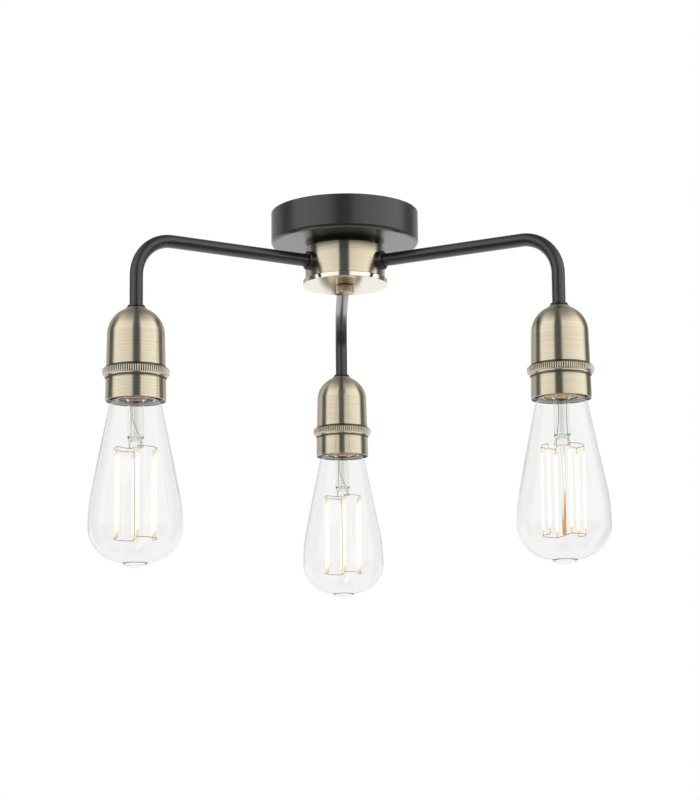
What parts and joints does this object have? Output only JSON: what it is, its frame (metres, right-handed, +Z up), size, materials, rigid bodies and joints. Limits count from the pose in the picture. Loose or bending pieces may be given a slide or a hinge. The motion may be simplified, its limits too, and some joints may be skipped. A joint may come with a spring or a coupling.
{
  "type": "semi-flush ceiling light",
  "caption": "Semi-flush ceiling light: black cup, brass hub and bent black arms that each carry a domed brass lampholder with a knurled ring and a clear filament bulb.",
  "frame": {"origin": "middle of the ceiling plane, midway between the bracket's two screw slots", "axes": "+Z up into the ceiling; +Y away from the picture's camera, along the back arm and the bracket; +X to the picture's right"},
  "size_m": [0.3532, 0.3145, 0.2674],
  "materials": {
    "black_paint": "satin black powder coat",
    "satin_brass": "brushed pale brass",
    "copper_brass": "polished reddish brass",
    "terminal_brass": "bare pressed brass",
    "cap_brass": "bright rolled brass",
    "zinc_steel": "zinc plated",
    "nickel_wire": "drawn nickel wire",
    "white_plastic": "moulded, matt",
    "black_moulding": "moulded, slight gloss",
    "lead_sleeve": "braided insulating sleeve",
    "circuit_board": "coated board",
    "clear_glass": "clear, fire polished",
    "lit_filament": "phosphor coated, lit"
  },
  "bodies": {
    "fitting": {"ceiling_bracket": "zinc_steel", "centre_rod": "zinc_steel", "rod_nuts": "zinc_steel", "terminal_block": "white_plastic", "terminal_screws": "zinc_steel", "earth_terminal": "terminal_brass", "ceiling_cup": "black_paint", "hub_body": "satin_brass", "hub_base_disc": "satin_brass", "hub_finial": "copper_brass", "arm_locknuts": "zinc_steel", "arm_tube_left": "black_paint", "arm_collar_left": "black_paint", "lamp_lead_left": "lead_sleeve", "holder_dome_left": "satin_brass", "holder_ring_left": "satin_brass", "holder_skirt_left": "satin_brass", "holder_insert_left": "black_moulding", "thread_shell_left": "terminal_brass", "centre_contact_left": "terminal_brass", "arm_tube_right": "black_paint", "arm_collar_right": "black_paint", "lamp_lead_right": "lead_sleeve", "holder_dome_right": "satin_brass", "holder_ring_right": "satin_brass", "holder_skirt_right": "satin_brass", "holder_insert_right": "black_moulding", "thread_shell_right": "terminal_brass", "centre_contact_right": "terminal_brass", "arm_tube_back": "black_paint", "arm_collar_back": "black_paint", "lamp_lead_back": "lead_sleeve", "holder_dome_back": "satin_brass", "holder_ring_back": "satin_brass", "holder_skirt_back": "satin_brass", "holder_insert_back": "black_moulding", "thread_shell_back": "terminal_brass", "centre_contact_back": "terminal_brass"},
    "bulb_left": {"bulb_cap_left": "cap_brass", "bulb_insulator_left": "black_moulding", "bulb_driver_left": "circuit_board", "bulb_glass_left": "clear_glass", "bulb_stem_left": "clear_glass", "bulb_filaments_left": "lit_filament", "bulb_wires_left": "nickel_wire"},
    "bulb_right": {"bulb_cap_right": "cap_brass", "bulb_insulator_right": "black_moulding", "bulb_driver_right": "circuit_board", "bulb_glass_right": "clear_glass", "bulb_stem_right": "clear_glass", "bulb_filaments_right": "lit_filament", "bulb_wires_right": "nickel_wire"},
    "bulb_back": {"bulb_cap_back": "cap_brass", "bulb_insulator_back": "black_moulding", "bulb_driver_back": "circuit_board", "bulb_glass_back": "clear_glass", "bulb_stem_back": "clear_glass", "bulb_filaments_back": "lit_filament", "bulb_wires_back": "nickel_wire"}
  },
  "joints": [
    {"name": "bulb_left_slide", "type": "slide", "parent": "fitting", "child": "bulb_left", "axis": [0, 0, -1], "range_m": [0, 0.036]},
    {"name": "bulb_right_slide", "type": "slide", "parent": "fitting", "child": "bulb_right", "axis": [0, 0, -1], "range_m": [0, 0.036]},
    {"name": "bulb_back_slide", "type": "slide", "parent": "fitting", "child": "bulb_back", "axis": [0, 0, -1], "range_m": [0, 0.036]}
  ]
}
